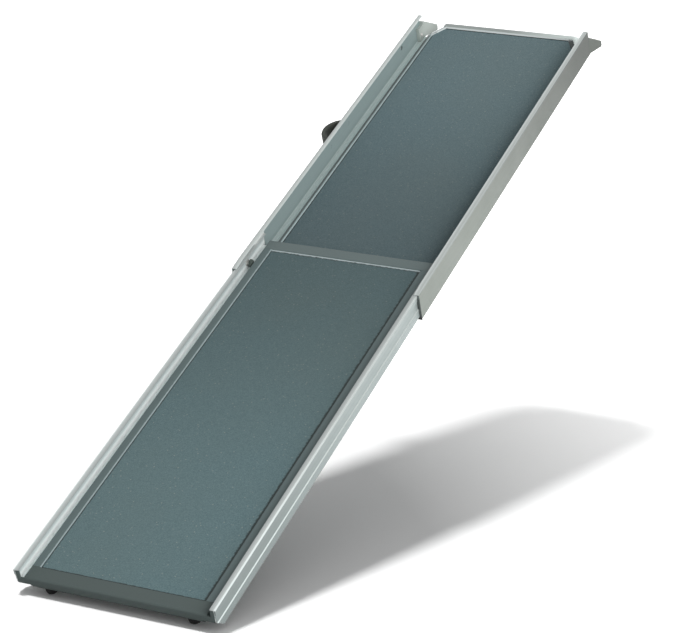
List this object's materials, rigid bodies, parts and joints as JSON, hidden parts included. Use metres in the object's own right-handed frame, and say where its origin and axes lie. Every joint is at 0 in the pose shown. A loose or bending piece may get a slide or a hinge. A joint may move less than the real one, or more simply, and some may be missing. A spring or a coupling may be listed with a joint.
{
  "type": "telescoping dog ramp",
  "caption": "Long narrow pet ramp whose lower section slides inside the upper rails, with grit treads, raised side rails, a lock knob, a carry handle and a sloping top lip.",
  "frame": {"origin": "centre of the outer face of the grip strip under the top lip, the face that rests on the vehicle", "axes": "+Y up the ramp along its length, +X across it to the right-hand side of someone walking up, +Z square to the decks, away from the underside"},
  "size_m": [0.416, 1.8455, 0.076],
  "materials": {
    "anodised_aluminium": "satin anodised extrusion",
    "grit_tread": "coarse grit, matt",
    "moulded_plastic": "matt moulding",
    "cap_plastic": "matt moulding",
    "black_nylon": "satin moulding",
    "natural_nylon": "satin moulding",
    "black_rubber": "matt",
    "zinc_steel": "zinc plated"
  },
  "bodies": {
    "upper_section": {"upper_rail_left": "anodised_aluminium", "upper_rail_right": "anodised_aluminium", "upper_deck_panel": "moulded_plastic", "upper_tread_mat": "grit_tread", "upper_crossmember_top": "anodised_aluminium", "upper_crossmember_middle": "anodised_aluminium", "upper_crossmember_mouth": "anodised_aluminium", "top_lip": "cap_plastic", "lip_grip_strip": "black_rubber", "rail_end_cap_left": "cap_plastic", "rail_end_cap_right": "cap_plastic", "mouth_glide_left": "black_nylon", "mouth_glide_right": "black_nylon", "extension_stop_left": "black_nylon", "extension_stop_right": "black_nylon", "carry_handle": "black_nylon", "handle_rivet_lower": "zinc_steel", "handle_rivet_upper": "zinc_steel"},
    "lower_section": {"lower_rail_left": "anodised_aluminium", "lower_rail_right": "anodised_aluminium", "lower_deck_panel": "moulded_plastic", "lower_tread_mat": "grit_tread", "lower_crossmember_top": "anodised_aluminium", "lower_crossmember_middle": "anodised_aluminium", "lower_crossmember_nose": "anodised_aluminium", "lower_deck_header": "moulded_plastic", "nose_piece": "moulded_plastic", "foot_left": "black_rubber", "foot_right": "black_rubber", "tail_glide_left": "natural_nylon", "tail_glide_right": "natural_nylon", "lock_bush": "zinc_steel"},
    "lock_plunger": {"lock_pin": "zinc_steel", "lock_knob": "black_nylon"}
  },
  "joints": [
    {"name": "telescope_slide", "type": "slide", "parent": "upper_section", "child": "lower_section", "axis": [0, 1, 0], "range_m": [0, 0.78]},
    {"name": "lock_slide", "type": "slide", "parent": "lower_section", "child": "lock_plunger", "axis": [-1, 0, 0], "range_m": [0, 0.0035]}
  ]
}
